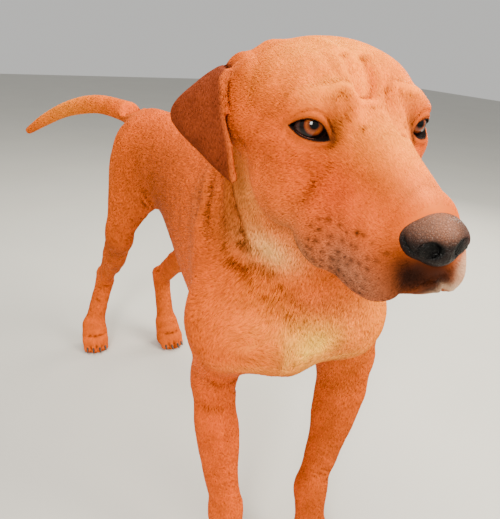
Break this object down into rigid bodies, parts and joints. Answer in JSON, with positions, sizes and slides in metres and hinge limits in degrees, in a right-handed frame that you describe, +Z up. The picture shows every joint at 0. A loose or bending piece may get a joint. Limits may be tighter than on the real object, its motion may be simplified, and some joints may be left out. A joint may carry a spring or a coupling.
{
  "type": "standing dog, short-coated retriever type",
  "caption": "Life-size short-coated red retriever-type dog standing on four paws, head turned to its right, drop ears, tail carried level and to its right.",
  "frame": {"origin": "on the floor under the middle of the dog's box", "axes": "+X to the dog's left, +Y to its rear along the body, +Z up; the head turns to its right, towards -X"},
  "size_m": [0.3, 1.091, 0.6768],
  "materials": {
    "coat": "short flat fur, fox red",
    "ear_coat": "short dense fur, darker brown red",
    "nose_leather": "pebbled moist leather",
    "eye": "wet, amber iris and black pupil",
    "claw": "dark horn, satin"
  },
  "bodies": {
    "root": {"ear_right": "ear_coat", "ear_left": "ear_coat", "head": "coat", "nose": "nose_leather", "eye_right": "eye", "eye_left": "eye", "neck": "coat", "tail": "coat", "chest": "coat", "loin": "coat", "shoulder_right": "coat", "forearm_right": "coat", "thigh_right": "coat", "shank_right": "coat", "forepaw_right": "coat", "forepaw_right_claw_1": "claw", "forepaw_right_claw_2": "claw", "forepaw_right_claw_3": "claw", "forepaw_right_claw_4": "claw", "hindpaw_right": "coat", "hindpaw_right_claw_1": "claw", "hindpaw_right_claw_2": "claw", "hindpaw_right_claw_3": "claw", "hindpaw_right_claw_4": "claw", "shoulder_left": "coat", "forearm_left": "coat", "thigh_left": "coat", "shank_left": "coat", "forepaw_left": "coat", "forepaw_left_claw_1": "claw", "forepaw_left_claw_2": "claw", "forepaw_left_claw_3": "claw", "forepaw_left_claw_4": "claw", "hindpaw_left": "coat", "hindpaw_left_claw_1": "claw", "hindpaw_left_claw_2": "claw", "hindpaw_left_claw_3": "claw", "hindpaw_left_claw_4": "claw"}
  },
  "joints": []
}
